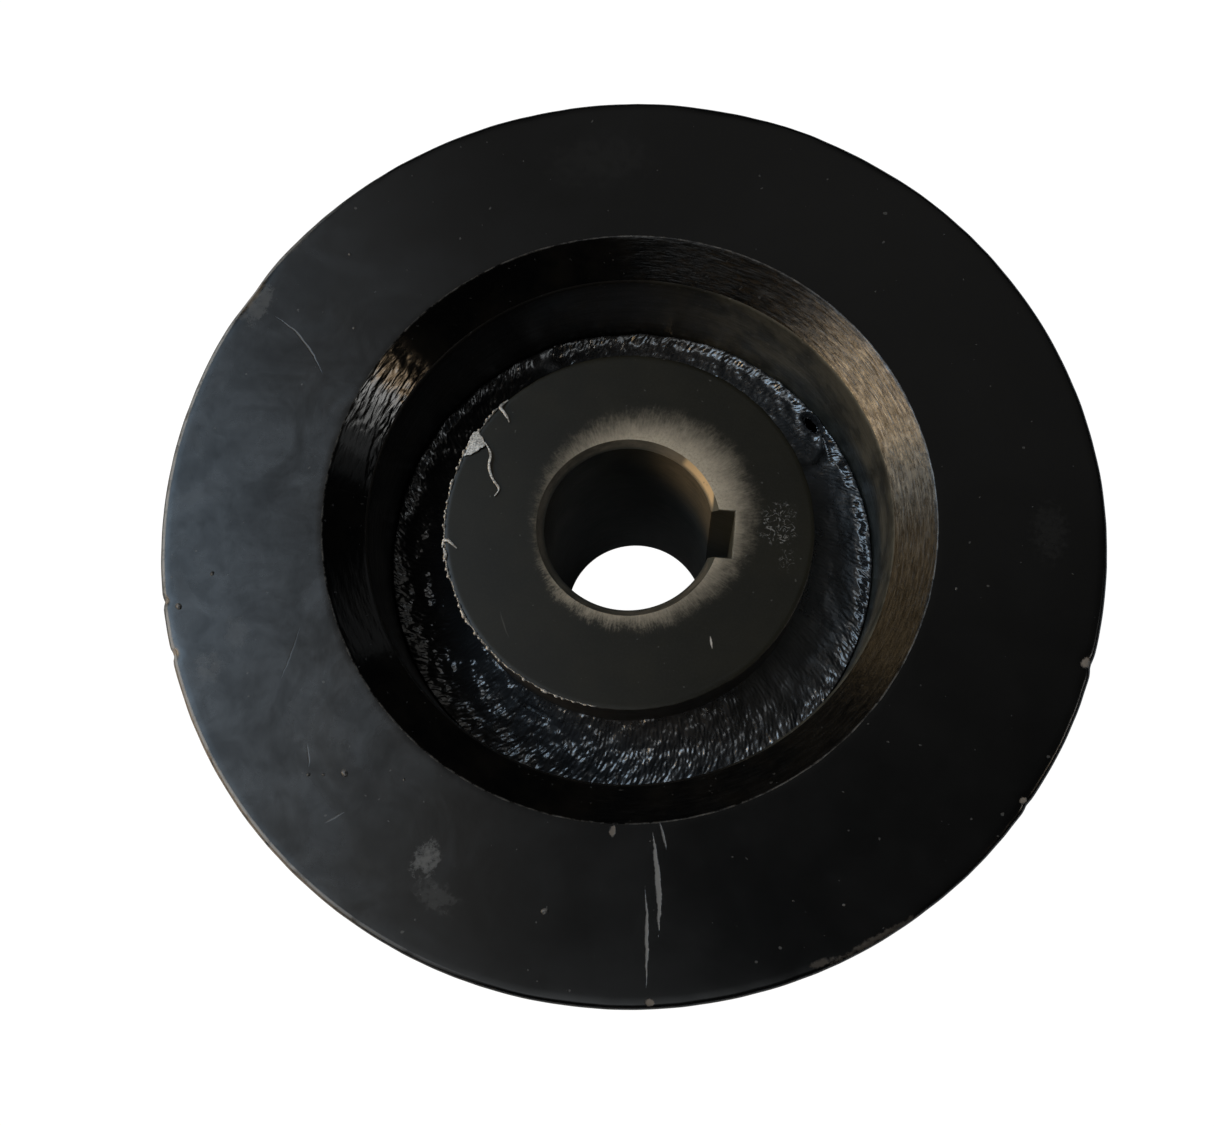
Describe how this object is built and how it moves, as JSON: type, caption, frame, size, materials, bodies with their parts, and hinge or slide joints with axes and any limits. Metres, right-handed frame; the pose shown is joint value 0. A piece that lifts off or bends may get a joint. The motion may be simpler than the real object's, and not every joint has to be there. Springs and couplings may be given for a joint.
{
  "type": "flywheel",
  "caption": "Round welded flywheel with a heavy rim, a deep chamfered recess and a sunk hub with a keyed bore.",
  "frame": {"origin": "on the bore axis at the hub's rear end face, the lowest point of the part", "axes": "+Z along the bore axis towards the recessed front, +X through the middle of the keyway"},
  "size_m": [0.15, 0.15, 0.0682],
  "materials": {
    "rim_paint": "semi-gloss black paint with fine dust, nicks and scratches",
    "weld_paint": "gloss black paint over rippled weld bead",
    "hub_steel": "satin turned face under a thin dark coat, with pale haze at the bore",
    "web_steel": "dull dark mill plate, hidden under the beads"
  },
  "bodies": {
    "root": {"rim_ring": "rim_paint", "web_plate": "web_steel", "hub_sleeve": "hub_steel", "front_weld_run_1": "weld_paint", "front_weld_run_2": "weld_paint", "front_weld_run_3": "weld_paint", "rear_weld_run_1": "weld_paint", "rear_weld_run_2": "weld_paint", "rear_weld_run_3": "weld_paint"}
  },
  "joints": []
}
